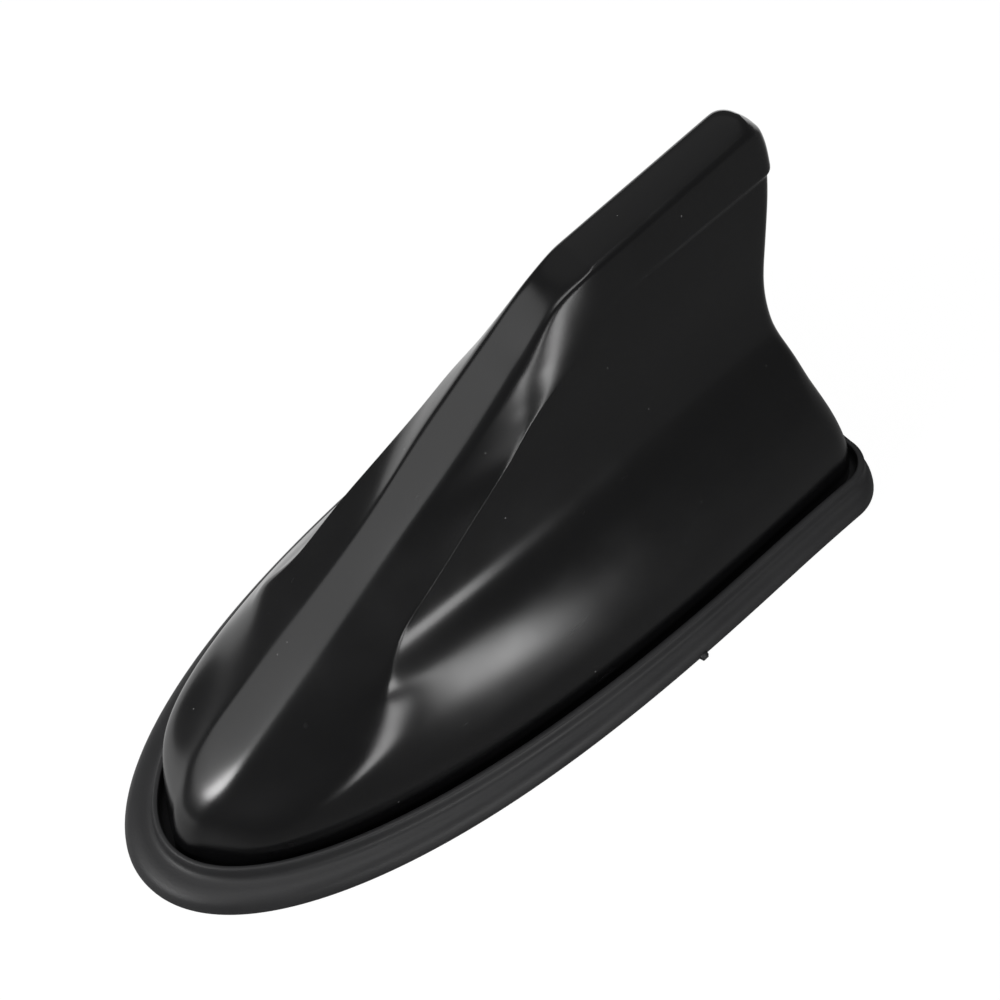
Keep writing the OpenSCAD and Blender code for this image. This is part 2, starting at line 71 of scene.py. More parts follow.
# Height and place along the cover, for nose, tail and the crease where a side facet ends.
FRONT = [(0, 7), (4, 7.4), (8, 8.5), (11.5, 10.4), (14.5, 13.4), (17, 17.1), (20, 22.3),
         (26, 33.5), (36, 52), (48, 71.5), (58, 87), (65, 95.5), (67, 99.5), (68.6, 105)]
REAR = [(0, 144.2), (6, 144.1), (14, 142.9), (22, 140.8), (30, 139.4), (38, 139.9),
        (47, 142.8), (55, 145.6), (60, 146.6), (66, 146.2), (68.6, 144)]
CREASE = [(0, 11), (4, 12), (13, 19), (20, 36), (28, 44.5), (34, 54.5), (40, 66),
          (46, 78), (50, 84.5), (52, 89.5), (54, 95), (56, 101), (58, 106), (60, 107),
          (64, 106), (68.6, 108)]

# Height and half width, for bell and fin, for the crest, and for the flat band on the spine.
SIDE = [(0, 30.6), (6, 30.2), (11, 28.9), (15, 27), (20, 24), (24, 21), (26.5, 18.8),
        (28, 17.1), (29.5, 15.6), (32, 14), (40, 11), (50, 8.4), (58.4, 6.1)]
CREST = [(58.4, 6.1), (59.2, 6.8), (63, 5.8), (67, 4.5), (68.2, 3.9), (68.6, 3.3)]
BAND = [(0, 3), (18, 4.4), (36, 3.5), (46, 4.1), (58, 4.1), (64, 3.7), (68.6, 3.3)]

# Place along the cover and height, for the spine and for the ledge under hood and crest.
SPINE = [(52, 36), (71.5, 48), (87, 58), (95.5, 65), (99.5, 67), (105, 68.6), (112, 68.6)]
LEDGE = [(54.5, 34), (66, 40), (78, 46.2), (84, 49.8), (89, 51.8), (95, 54), (101, 56),
         (107, 57.8), (113, 58.8)]

# What changes with height: from which height to which, the first value and the last.
NOSE_ROUND = (4, 12, 2, 2.35)
BAND_LEAD = (12, 20, 1.2, 0.3)
TAIL_BOW = (10, 30, 1, 0.2)
TAIL_CORNER = (20, 30, 5, 3)
FACET_BLEND = (24, 34, 8, 68)
STEP_GROWS = (30, 38, 0, HOOD_STEP)
HOOD_TAKES_OVER = (42, 50, 0, 1)

# The crest's edge grows rounder from one place to another, and its top dips towards the nose.
CREST_ROUND = (94, 106, 0, 0.9)
ROUND_HEIGHT = 0.9
CREST_DIP = 2.6
DIP_FROM = 56
DIP_HEIGHT = 12.6
DIP_CURVE = 1.5
DIP_PLACE = 105
DIP_LENGTH = 38

# Points of half an outline; they crowd together where the form turns.
FACE_POINTS = 9
FACE_CURVE = 2.5
FACET_POINTS = 33
FACET_CROWD = 1.6
FLANK_POINTS = 70
FLANK_CROWD = 1.7
FLANK_START = 0.5
CORNER_POINTS = 15
TAIL_POINTS = 9


def profile(points, at):
    """Smooth curve through a profile's points, at one place or many."""
    px, py = np.array(points, dtype=float).T
    slopes = np.empty_like(px)
    slopes[0] = (py[1] - py[0]) / (px[1] - px[0])
    slopes[-1] = (py[-1] - py[-2]) / (px[-1] - px[-2])
    slopes[1:-1] = (py[2:] - py[:-2]) / (px[2:] - px[:-2])
    i = np.clip(np.searchsorted(px, at, side="right") - 1, 0, len(px) - 2)
    w = px[i + 1] - px[i]
    t = np.clip((at - px[i]) / w, 0, 1)
    return (py[i] * (1 + 2 * t) * (1 - t) ** 2 + py[i + 1] * t * t * (3 - 2 * t)
            + w * slopes[i] * t * (1 - t) ** 2 - w * slopes[i + 1] * t * t * (1 - t))


def eased(at, start, end, first, last):
    """Passes smoothly from the first value to the last between start and end."""
    t = np.clip((at - start) / (end - start), 0, 1)
    return first + (last - first) * t * t * (3 - 2 * t)


def full_width(height):
    """Half width of bell, fin or crest at its widest."""
    return profile(SIDE if height < CREST_FOOT else CREST, height)


def bullet(height, x):
    """How wide the bell is at x, as a share of its width at the tail."""
    nose = np.clip((NOSE_END - x) / NOSE_LENGTH, 0, 1)
    return (1 - nose ** NOSE_POWER) ** (1 / eased(height, *NOSE_ROUND))


def hood(height, x):
    """Half width of hood and crest, from the crease up to the band."""
    top = np.minimum(COVER_TOP, profile(SPINE, x))
    low = profile(LEDGE, x)
    down = np.clip((top - height) / (top - low), 0, 1)
    foot = profile(SIDE, np.minimum(CREST_FOOT, low)) * bullet(height, x) + HOOD_STEP
    round_off = np.sqrt(np.clip((top - height) / ROUND_HEIGHT, 0, 1))
    edge = profile(BAND, top) + eased(x, *CREST_ROUND) * round_off
    return edge + (foot - edge) * down


def marks(height):
    """Places of nose, side facet, crease and tail at one height."""
    front = profile(FRONT, height)
    crease = max(front + SHORTEST_FACET, profile(CREASE, height))
    return front, front + eased(height, *BAND_LEAD), crease, profile(REAR, height)


def half_width(height, x):
    """Half width of the cover: the hood's side facet before the crease, bell and fin behind."""
    _, lead, crease, _ = marks(height)
    band = profile(BAND, height)
    full = full_width(height)
    step = eased(height, *STEP_GROWS)
    before = x <= crease
    facet = band + (full * bullet(height, crease) + step - band) * (x - lead) / (crease - lead)
    share = np.where(before | (height > CREST_FOOT), eased(height, *HOOD_TAKES_OVER), 0)
    facet = facet + share * (hood(height, x) - facet)
    bell = full * bullet(height, x) + np.where(before, step, 0)
    if height <= CREST_FOOT:
        power = eased(height, *FACET_BLEND)
        return facet / (1 + (facet / bell) ** power) ** (1 / power)
    return np.where(before | (height >= CREST_EDGE), facet, np.minimum(facet, bell))


def half_outline(height):
    """Half of one level outline, from the nose along the side and round to the tail."""
    front, lead, crease, rear = marks(height)
    bow = eased(height, *TAIL_BOW)
    corner = min(eased(height, *TAIL_CORNER), full_width(height) - TAIL_FLAT)
    last = rear - corner - bow
    across = np.linspace(0, 1, FACE_POINTS)
    face = np.column_stack([front + (lead - front) * across ** FACE_CURVE,
                            profile(BAND, height) * across])
    to_crease = np.linspace(1, 0, FACET_POINTS)[1:]
    facet_x = lead + (crease - lead) * (1 - to_crease ** FACET_CROWD)
    flank = crease + FLANK_START
    flank_x = flank + (last - flank) * np.linspace(0, 1, FLANK_POINTS) ** FLANK_CROWD
    side_x = np.concatenate([facet_x, flank_x])
    side = np.column_stack([side_x, half_width(height, side_x)])
    middle = side[-1, 1] - corner
    angle = np.radians(np.linspace(0, 90, CORNER_POINTS)[1:])
    round_tail = np.column_stack([last + corner * np.sin(angle), middle + corner * np.cos(angle)])
    tail_y = np.linspace(middle, 0, TAIL_POINTS)[1:]
    tail = np.column_stack([rear - bow * (tail_y / middle) ** 2, tail_y])
    return np.vstack([face, side, round_tail, tail])


def cover_ring(height, inset=0, lower=0):
    """A closed ring of the cover, nose first, inset and lowered for the inside."""
    x, y = half_outline(height).T
    bend = min(1, max(0, (height - DIP_FROM) / DIP_HEIGHT)) ** DIP_CURVE
    before_tail = 1 - np.clip((x - DIP_PLACE) / DIP_LENGTH, 0, 1)
    z = height - CREST_DIP * bend * before_tail - lower
    x = x + eased(x, x[0], x[-1], inset, -inset)
    y = y - inset * np.minimum(1, y / NARROW)
    right = np.column_stack([x, -y, z])
    left = np.column_stack([x, y, z])[-2:0:-1]
    return np.vstack([right, left])


def polish(rings, rounds):
    """Rounds the edges of a stack of rings a little, all but its first ring."""
    for _ in range(rounds):
        around = (np.roll(rings, 1, 1) + 2 * rings + np.roll(rings, -1, 1)) / 4
        rings = np.concatenate([rings[:1], around[1:]])
        middle = (rings[:-2] + 2 * rings[1:-1] + rings[2:]) / 4
        rings = np.concatenate([rings[:1], middle, rings[-1:]])
    return rings


def ring_faces(rows, count, start, turned=False):
    """Faces between the rings of a stack whose points begin at start."""
    faces = []
    for row in range(rows - 1):
        for i in range(count):
            a = start + row * count + i
            b = start + row * count + (i + 1) % count
            face = (a, b, b + count, a + count)
            faces.append(face[::-1] if turned else face)
    return faces


def lid_faces(start, count, turned=False):
    """Faces that close a ring from side to side."""
    faces = []
    for i in range(count // 2):
        a = start + i
        b = start + i + 1
        c = start + (count - i) % count
        d = start + count - i - 1
        ends = [a, b, d] if i == 0 else [a, b, c] if b == d else [a, b, d, c]
        faces.append(tuple(ends if turned else ends[::-1]))
    return faces


def new_piece(name, points, faces, material, smooth=True):
    mesh = bpy.data.meshes.new(name)
    mesh.from_pydata([tuple(p) for p in points], [], faces)
    mesh.materials.append(material)
    mesh.polygons.foreach_set("use_smooth", [smooth] * len(mesh.polygons))
    mesh.validate()
    piece = bpy.data.objects.new(name, mesh)
    bpy.context.collection.objects.link(piece)
    return piece


class Wire:
    """A shader socket that can be used in sums: 1 - mask * 0.5 adds Math nodes."""

    def __init__(self, paint, socket):
        self.paint = paint
        self.socket = socket

    def maths(self, operation, *others):
        return self.paint.node("ShaderNodeMath", {"operation": operation}, (self, *others))

    def __add__(self, other):
        return self.maths("ADD", other)

    def __sub__(self, other):
        return self.maths("SUBTRACT", other)

    def __rsub__(self, other):
        return self.paint.node("ShaderNodeMath", {"operation": "SUBTRACT"}, (other, self))

    def __mul__(self, other):
        return self.maths("MULTIPLY", other)

    def __gt__(self, other):
        return self.maths("GREATER_THAN", other)

    def __lt__(self, other):
        return self.maths("LESS_THAN", other)

    def __abs__(self):
        return self.maths("ABSOLUTE")

    __radd__ = __add__
    __rmul__ = __mul__


class Finish:
    """A material with one Principled shader and the nodes that vary it."""

    def __init__(self, name, **fixed):
        self.material = bpy.data.materials.new(name)
        self.material.use_nodes = True
        self.tree = self.material.node_tree
        self.shader = self.tree.nodes["Principled BSDF"]
        self.place = self.node("ShaderNodeTexCoord", {}, {}, "Object")
        for socket, value in fixed.items():
            self.shader.inputs[socket.replace("_", " ")].default_value = value

    def node(self, kind, settings, values, output=0):
        """Adds a node; the values of its sockets are plain or wires from other nodes."""
        made = self.tree.nodes.new(kind)
        for key, value in settings.items():
            setattr(made, key, value)
        pairs = values.items() if isinstance(values, dict) else enumerate(values)
        for key, value in pairs:
            if isinstance(value, Wire):
                self.tree.links.new(value.socket, made.inputs[key])
            else:
                made.inputs[key].default_value = value
        return Wire(self, made.outputs[output])

    def noise(self, scale, detail=2.0, roughness=0.5, stretch=(1, 1, 1)):
        drawn = self.node("ShaderNodeVectorMath", {"operation": "MULTIPLY"},
                          [self.place, stretch], "Vector")
        return self.node("ShaderNodeTexNoise", {}, {
            "Vector": drawn, "Scale": scale, "Detail": detail,
            "Roughness": roughness}, "Fac")

    def cells(self, scale, output="Distance", metric="EUCLIDEAN"):
        return self.node("ShaderNodeTexVoronoi", {"feature": "F1", "distance": metric}, {
            "Vector": self.place, "Scale": scale, "Randomness": 1.0}, output)

    def cell_value(self, scale, metric="EUCLIDEAN"):
        """One value for each cell, different from its neighbours'."""
        return self.node("ShaderNodeRGBToBW", {}, [self.cells(scale, "Color", metric)])

    def along(self, axis):
        return self.node("ShaderNodeSeparateXYZ", {}, [self.place], axis)

    def between(self, wire, low, high):
        return self.node("ShaderNodeMapRange", {"clamp": True}, {
            "Value": wire, "From Min": low, "From Max": high}, "Result")

    def blend(self, factor, first, second):
        return self.node("ShaderNodeMix", {"data_type": "RGBA"}, {
            0: factor, 6: first, 7: second}, 2)

    def feed(self, **links):
        for socket, wire in links.items():
            self.tree.links.new(wire.socket, self.shader.inputs[socket.replace("_", " ")])

    def bump(self, height, strength, distance):
        self.feed(Normal=self.node("ShaderNodeBump", {}, {
            "Strength": strength, "Distance": distance, "Height": height}, "Normal"))


gloss = Finish("cover_gloss", Roughness=0.06, Specular_IOR_Level=0.5, IOR=1.5)
haze = gloss.between(gloss.noise(90, 3), 0.35, 0.75)
dust = (gloss.cells(260) < 0.035) * (gloss.noise(420, 0) > 0.56)
hairline = ((gloss.noise(420, 1, stretch=(0.05, 1.6, 1)) > 0.735)
            * (gloss.noise(70, 1) > 0.55))
gloss.feed(Base_Color=gloss.blend(dust, COVER_BLACK, DUST_GREY),
           Roughness=0.2 + haze * 0.05 + dust * 0.3 + hairline * 0.08)
gloss.bump(gloss.noise(55, 1), 0.02, 0.0002)

OUTER_BREAKS = [RIM_HEIGHT, 24, 52, 60.4, 66, COVER_TOP]
OUTER_RINGS = [45, 45, 33, 13, 13]
INNER_LOW = 4
INNER_HIGH = 66.5
INNER_RINGS = 44
outer_heights = [np.linspace(low, high, rings, endpoint=False) for low, high, rings
                 in zip(OUTER_BREAKS, OUTER_BREAKS[1:], OUTER_RINGS)]
outer = np.array([cover_ring(h) for h in np.concatenate(outer_heights + [[COVER_TOP]])])
outer = polish(outer, 3)
inner = [cover_ring(RIM_HEIGHT, COVER_WALL)]
inner += [cover_ring(h + COVER_ROOF, COVER_WALL, COVER_ROOF)
          for h in np.linspace(INNER_LOW, INNER_HIGH, INNER_RINGS)]
inner = polish(np.array(inner), 2)
ring_size = outer.shape[1]
first_inner = len(outer) * ring_size
cover_points = np.vstack([outer.reshape(-1, 3), inner.reshape(-1, 3)])
cover_points[:, 0] -= DRAWN_MIDDLE
cover_faces = (
    ring_faces(len(outer), ring_size, 0)
    + lid_faces(first_inner - ring_size, ring_size, turned=True)
    + [(i, first_inner + i, first_inner + (i + 1) % ring_size, (i + 1) % ring_size)
       for i in range(ring_size)]
    + ring_faces(len(inner), ring_size, first_inner, turned=True)
    + lid_faces(len(cover_points) - ring_size, ring_size))

BOSS_PLACES = [(-41, 7.5), (-41, -7.5), (58, 20), (58, -20)]
BOSS_FOOT = 3.6
BOSS_TOP = 20.5
BOSS_RADIUS = 3.0
PILOT_RADIUS = 1.2
PILOT_END = 13.0
POLE = 0.05


def turned_rings(x, y, section, count=32):
    """Rings of a turned part at x, y; the section lists radius and height."""
    angle = np.linspace(0, 2 * math.pi, count, endpoint=False)
    return np.array([[(x + r * math.cos(a), y + r * math.sin(a), z) for a in angle]
                     for r, z in section])


boss_section = [(POLE, PILOT_END), (PILOT_RADIUS, PILOT_END), (PILOT_RADIUS, BOSS_FOOT),
                (BOSS_RADIUS, BOSS_FOOT), (BOSS_RADIUS, BOSS_TOP), (POLE, BOSS_TOP)]
for boss_x, boss_y in BOSS_PLACES:
    boss = turned_rings(boss_x, boss_y, boss_section)
    cover_faces += ring_faces(len(boss), boss.shape[1], len(cover_points))
    cover_points = np.vstack([cover_points, boss.reshape(-1, 3)])
cover = new_piece("cover_shell", cover_points * MM, cover_faces, gloss.material)
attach(cover, "root")
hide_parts("fin_cover")

# Rubber skirt
# Soft black rubber moulding between cover and roof: a rounded outer slope, an
# upright lip round the foot of the cover and a flat flange underneath it.

RUBBER_CLEAN = (0.013, 0.013, 0.014, 1)
RUBBER_WIPED = (0.021, 0.021, 0.022, 1)
SKIRT_BOW = 1.6
SKIRT_SPREAD = 0.8
SKIRT_NOSE_POINTS = 70
SKIRT_NOSE_CROWD = 1.1
SKIRT_SIDE_POINTS = 12
SKIRT_CORNER_POINTS = 16
LIFTED = 0.3
SKIRT = [  # nose, tail, half width, tail corner, two powers, height
    (0, 147, 36.45, 9.5, 2.67, 2.07, 0), (0.1, 146.95, 36.35, 9.4, 2.67, 2.07, 0.9),
    (0.9, 146.8, 35.8, 9, 2.65, 2.06, 2.1), (2.6, 146.6, 34.9, 8.4, 2.6, 2.05, 2.9),
    (5.2, 146.3, 33.5, 7, 2.5, 2, 3.3), (5.6, 146.15, 33.1, 6.4, 2.42, 2, 4.9),
    (5.9, 146, 32.8, 6.3, 2.4, 2, 5.2), (6.5, 145.3, 31.9, 6, 2.4, 2, 5.2),
    (6.6, 145.2, 31.8, 5.8, 2.4, 2, 4.8), (6.6, 145.2, 31.8, 5.8, 2.4, 2, 1.2),
    (14.1, 137, 23.6, 5, 2.4, 2, 1.2), (14.1, 137, 23.6, 5, 2.4, 2, 0)]
GATE_STUB = [(20.1, -35.8), (21.9, -35.8), (21.5, -36.85), (20.3, -36.85)]
STUB_FOOT = 0.02
STUB_TOP = 0.9


def skirt_ring(nose, tail, half, corner, power_x, power_y, height):
    """A closed ring of the skirt, nose first."""
    angle = np.radians(90 * np.linspace(0, 1, SKIRT_NOSE_POINTS) ** SKIRT_NOSE_CROWD)
    front = np.column_stack([
        NOSE_END - (NOSE_END - nose) * np.cos(angle) ** (2 / power_x),
        half * np.sin(angle) ** (2 / power_y)])
    end = tail - SKIRT_BOW - corner
    x = np.linspace(NOSE_END, end, SKIRT_SIDE_POINTS)[1:]
    spread = SKIRT_SPREAD * ((x - NOSE_END) / (tail - NOSE_END)) ** 2
    side = np.column_stack([x, half + spread])
    turn = np.radians(np.linspace(0, 90, SKIRT_CORNER_POINTS)[1:])
    middle = side[-1, 1] - corner
    round_tail = np.column_stack([end + corner * np.sin(turn), middle + corner * np.cos(turn)])
    y = np.linspace(middle, 0, SKIRT_SIDE_POINTS)[1:]
    back = np.column_stack([tail - SKIRT_BOW * (y / middle) ** 2, y])
    line = np.vstack([front, side, round_tail, back])
    right = np.column_stack([line[:, 0], -line[:, 1], np.full(len(line), height)])
    left = (right * [1, -1, 1])[-2:0:-1]
    return np.vstack([right, left])


def soften(section, cut, rounds):
    """Cuts the corners of the skirt's section so that its edges are rounded."""
    section = np.array(section, dtype=float)
    for _ in range(rounds):
        after = np.roll(section, -1, 0)
        pair = [section * (1 - cut) + after * cut, section * cut + after * (1 - cut)]
        section = np.stack(pair, 1).reshape(-1, section.shape[1])
    return section


rubber = Finish("skirt_rubber", Specular_IOR_Level=0.4)
wipe = rubber.between(rubber.noise(60, 3), 0.3, 0.8)
rubber.feed(Base_Color=rubber.blend(wipe, RUBBER_CLEAN, RUBBER_WIPED),
            Roughness=0.46 + wipe * 0.12)
rubber.bump(rubber.noise(2600, 2, 0.6), 0.25, 0.00012)

# Softening lifts the section's foot off the roof a little, so its lowest points go back onto it.
skirt_section = soften(SKIRT, cut=0.22, rounds=2)
skirt_section[skirt_section[:, -1] < LIFTED, -1] = 0
skirt_rings = np.array([skirt_ring(*row) for row in skirt_section])
skirt_size = skirt_rings.shape[1]
last_ring = (len(skirt_rings) - 1) * skirt_size
skirt_points = skirt_rings.reshape(-1, 3) - [DRAWN_MIDDLE, 0, 0]
skirt_faces = ring_faces(len(skirt_rings), skirt_size, 0)
skirt_faces += [((i + 1) % skirt_size, last_ring + (i + 1) % skirt_size, last_ring + i, i)
                for i in range(skirt_size)]

stub = len(skirt_points)
skirt_points = np.vstack([skirt_points] + [
    [(x, y, z) for x, y in GATE_STUB] for z in (STUB_FOOT, STUB_TOP)])
skirt_faces += [(stub + i, stub + i + 4, stub + (i + 1) % 4 + 4, stub + (i + 1) % 4)
                for i in range(4)]
skirt_faces += [tuple(stub + i for i in (0, 1, 2, 3)), tuple(stub + i for i in (7, 6, 5, 4))]
skirt = new_piece("rubber_skirt", skirt_points * MM, skirt_faces, rubber.material)
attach(skirt, "root")
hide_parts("skirt")

# Base plate and board holder
# Injection-moulded nylon, spark-eroded to a fine matt grain. Ribs stiffen the
# plate, four posts carry the level board, and two rails grip the upright one.

NYLON_BLACK = (0.014, 0.014, 0.015, 1)
NYLON_FLOW = (0.024, 0.024, 0.026, 1)


def dress(finish, *nodes):
    """Gives CAD pieces, whose shapes are right as they are, their own finish."""
    for name in nodes:
        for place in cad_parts[name].material_slots:
            place.material = finish.material


nylon = Finish("plate_plastic", Specular_IOR_Level=0.45)
flow = nylon.between(nylon.noise(38, 3, stretch=(0.4, 1, 1)), 0.3, 0.75)
nylon.feed(Base_Color=nylon.blend(flow, NYLON_BLACK, NYLON_FLOW),
           Roughness=0.5 + flow * 0.14)
nylon.bump(nylon.noise(4200, 2, 0.6), 0.3, 0.00008)
dress(nylon, "base_plate", "board_holder")

# Foam tape and foam block
# Closed-cell polyethylene foam, cut to shape: one sheet bonds the plate to the
# roof, and a slotted block steadies the upright board under the cover.

FOAM_PORE = (0.05, 0.05, 0.052, 1)
FOAM_EDGE = (0.022, 0.022, 0.023, 1)

foam = Finish("foam_tape", Specular_IOR_Level=0.25)
pore = foam.cells(1500)
big_pore = foam.between(foam.noise(300, 3), 0.35, 0.7)
foam.feed(Base_Color=foam.blend(foam.between(pore, 0.1, 0.6), FOAM_PORE, FOAM_EDGE),
          Roughness=0.82 + big_pore * 0.12)
foam.bump(pore + big_pore * 0.6, 0.6, 0.0003)
dress(foam, "adhesive_pad", "foam_block")

# Cable grommet
# Soft EPDM spool, snapped into the plate's outlet. It is a little paler than
# the skirt, with talc left from the mould in its grain.

SPOOL_BLACK = (0.014, 0.014, 0.014, 1)
TALC_GREY = (0.05, 0.05, 0.048, 1)

spool = Finish("grommet_rubber", Specular_IOR_Level=0.35)
talc = spool.between(spool.noise(900, 4, 0.65), 0.52, 0.75)
spool.feed(Base_Color=spool.blend(talc, SPOOL_BLACK, TALC_GREY),
           Roughness=0.6 + talc * 0.25)
spool.bump(spool.noise(3000, 2), 0.2, 0.0001)
dress(spool, "cable_grommet")

# Screws, crystal can and earth spring
# Zinc-plated steel: cold-headed screws with crossed recesses, the drawn can of
# the crystal, and a bent strip that earths the board on the roof.

ZINC_BRIGHT = (0.62, 0.61, 0.58, 1)
ZINC_DULL = (0.46, 0.46, 0.47, 1)

zinc = Finish("screw_steel", Metallic=1.0)
bloom = zinc.between(zinc.noise(420, 4, 0.6), 0.35, 0.7)
drawn_lines = zinc.noise(900, 2, stretch=(0.12, 1, 2.5))
zinc.feed(Base_Color=zinc.blend(bloom, ZINC_BRIGHT, ZINC_DULL),
          Roughness=0.24 + bloom * 0.14 + drawn_lines * 0.1)
zinc.bump(drawn_lines, 0.08, 0.0001)
dress(zinc, "cover_screws", "board_screws", "crystal_can", "earth_spring")

# Level board and upright board
# Glass-fibre laminate under green solder mask. Etched tracks stand a little
# proud under the mask and change direction from field to field, with tinned vias.

MASK_GREEN = (0.006, 0.07, 0.024, 1)
TRACK_GREEN = (0.012, 0.135, 0.045, 1)
VIA_TIN = (0.66, 0.64, 0.58, 1)
TRACK_PITCH = 0.00127
TRACK_SHARE = 0.34
VIA_PITCH = 0.00508
VIA_SPOT = 0.022

laminate = Finish("board_laminate", Specular_IOR_Level=0.5)


def grid_line(coordinate, pitch):
    """Distance from the nearest line of a grid, as a share of half its pitch."""
    return abs((coordinate * (1 / pitch)).maths("FRACT") - 0.5) * 2


run = laminate.along("X")
rise = laminate.along("Y") + laminate.along("Z")
field = laminate.cell_value(150, "CHEBYCHEV")
lengthwise = (grid_line(rise, TRACK_PITCH) < TRACK_SHARE) * (field > 0.52)
crosswise = (grid_line(run, TRACK_PITCH) < TRACK_SHARE) * (field < 0.42)
track = lengthwise + crosswise
dot_x = grid_line(run, VIA_PITCH)
dot_y = grid_line(rise, VIA_PITCH)
via = (dot_x * dot_x + dot_y * dot_y < VIA_SPOT) * (laminate.noise(120, 0) > 0.46)
weave = laminate.noise(1600, 2, stretch=(1, 0.4, 0.4))
laminate.feed(
    Base_Color=laminate.blend(via, laminate.blend(track, MASK_GREEN, TRACK_GREEN), VIA_TIN),
    Metallic=via,
    Roughness=0.3 + weave * 0.12)
laminate.bump(track + via * 1.2 + weave * 0.1, 0.35, 0.00006)
dress(laminate, "amp_board", "fin_board")

# Shield can, lead socket and solder
# Tinplate: a folded can over the tuner with a row of vents, the pressed shell
# of the coaxial socket, and the joints that reflow left under the board.

TIN_DARK = (0.6, 0.6, 0.58, 1)
TIN_BRIGHT = (0.72, 0.72, 0.71, 1)

tinplate = Finish("can_tin", Metallic=1.0)
spangle = tinplate.cell_value(900)
rolled = tinplate.noise(700, 2, stretch=(0.08, 1, 1))
tinplate.feed(Base_Color=tinplate.blend(spangle, TIN_DARK, TIN_BRIGHT),
              Roughness=0.26 + spangle * 0.1 + rolled * 0.1)
tinplate.bump(rolled + tinplate.noise(160, 1) * 0.8, 0.12, 0.0002)
dress(tinplate, "shield_can", "lead_socket", "solder_joints")

# Tuner chip and wound inductors
# The chip's epoxy is moulded dull with a fine grain and mottled by its filler.
# The inductors are grey ferrite with turns of enamelled wire round the waist.

EPOXY_BLACK = (0.016, 0.016, 0.017, 1)
FILLER_GREY = (0.035, 0.035, 0.036, 1)
TURN_WAVE = 15700.0  # radians in a metre, so the turns lie 0.2 mm apart

epoxy = Finish("chip_plastic", Specular_IOR_Level=0.4)
filler = epoxy.between(epoxy.noise(2600, 3, 0.65), 0.4, 0.7)
turn_mark = abs((epoxy.along("X") * TURN_WAVE).maths("SINE"))
epoxy.feed(Base_Color=epoxy.blend(filler, EPOXY_BLACK, FILLER_GREY),
           Roughness=0.5 + filler * 0.15 + turn_mark * 0.06)
epoxy.bump(filler + turn_mark * 0.5, 0.15, 0.00005)
dress(epoxy, "amp_chip", "chip_inductors")

# Capacitors
# Fired ceramic blocks, tan and finely speckled, dipped in tin at both ends
# where they are soldered. They stand in a row five millimetres apart.

CERAMIC_BROWN = (0.36, 0.25, 0.15, 1)
CERAMIC_TAN = (0.46, 0.33, 0.2, 1)
DIPPED_TIN = (0.68, 0.67, 0.64, 1)
CAPACITOR_PITCH = 0.005
CAPACITOR_LENGTH = 0.002
CAPACITOR_MARGIN = 0.0005
PLAIN_SHARE = 0.3

ceramic = Finish("ceramic_body", Specular_IOR_Level=0.45)
row_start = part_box("chip_capacitors")[0].x - CAPACITOR_MARGIN
place_in_row = (ceramic.along("X") - row_start).maths("FLOORED_MODULO", CAPACITOR_PITCH)
from_middle = abs(place_in_row - (CAPACITOR_MARGIN + CAPACITOR_LENGTH / 2))
dipped = from_middle > PLAIN_SHARE * CAPACITOR_LENGTH
speckle = ceramic.between(ceramic.noise(5200, 2, 0.6), 0.35, 0.7)
body_tan = ceramic.blend(speckle, CERAMIC_BROWN, CERAMIC_TAN)
ceramic.feed(Base_Color=ceramic.blend(dipped, body_tan, DIPPED_TIN),
             Metallic=dipped,
             Roughness=0.42 + speckle * 0.1)
ceramic.bump(speckle + dipped, 0.2, 0.00004)
dress(ceramic, "chip_capacitors")

# Loading coil, link wire and printed conductor
# Bare copper. The coil is an open helix of drawn wire that stands on the level
# board; the link wire joins its top to the conductor on the upright board.

COPPER_BRIGHT = (0.78, 0.38, 0.2, 1)
COPPER_TARNISHED = (0.5, 0.22, 0.12, 1)
WIRE = 0.8
COIL_TURNS = 6
RING_CORNERS = 20
STEPS_PER_TURN = 48

copper = Finish("copper_wire", Metallic=1.0)
tarnish = copper.between(copper.noise(380, 4, 0.6), 0.35, 0.75)
die_marks = copper.noise(1400, 2, stretch=(0.3, 0.3, 2))
copper.feed(Base_Color=copper.blend(tarnish, COPPER_BRIGHT, COPPER_TARNISHED),
            Roughness=0.22 + tarnish * 0.2 + die_marks * 0.08)
copper.bump(die_marks, 0.08, 0.00006)
dress(copper, "link_wire", "antenna_track")

coil_low, coil_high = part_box("loading_coil")
coil_foot = Vector(((coil_low.x + coil_high.x) / 2, (coil_low.y + coil_high.y) / 2,
                    coil_low.z + WIRE * MM / 2))
coil_sizes = {
    "Turns": COIL_TURNS,
    "Radius": (coil_high.x - coil_low.x - WIRE * MM) / 2,
    "Rise": coil_high.z - coil_low.z - WIRE * MM,
    "Wire Radius": WIRE * MM / 2}
winding = bpy.data.node_groups.new("coil_winding", "GeometryNodeTree")
size_keys = {}
for label, value in coil_sizes.items():
    entry = winding.interface.new_socket(label, in_out="INPUT", socket_type="NodeSocketFloat")
    entry.default_value = value
    size_keys[label] = entry.identifier
winding.interface.new_socket("Geometry", in_out="OUTPUT", socket_type="NodeSocketGeometry")
sizes_in = winding.nodes.new("NodeGroupInput").outputs


def shape_node(kind, links, fixed=()):
    """Adds one node of the winding; links come from other nodes' outputs."""
    made = winding.nodes.new(kind)
    for key, wire in links.items():
        winding.links.new(wire, made.inputs[key])
    for key, value in dict(fixed).items():
        made.inputs[key].default_value = value
    return made.outputs[0]


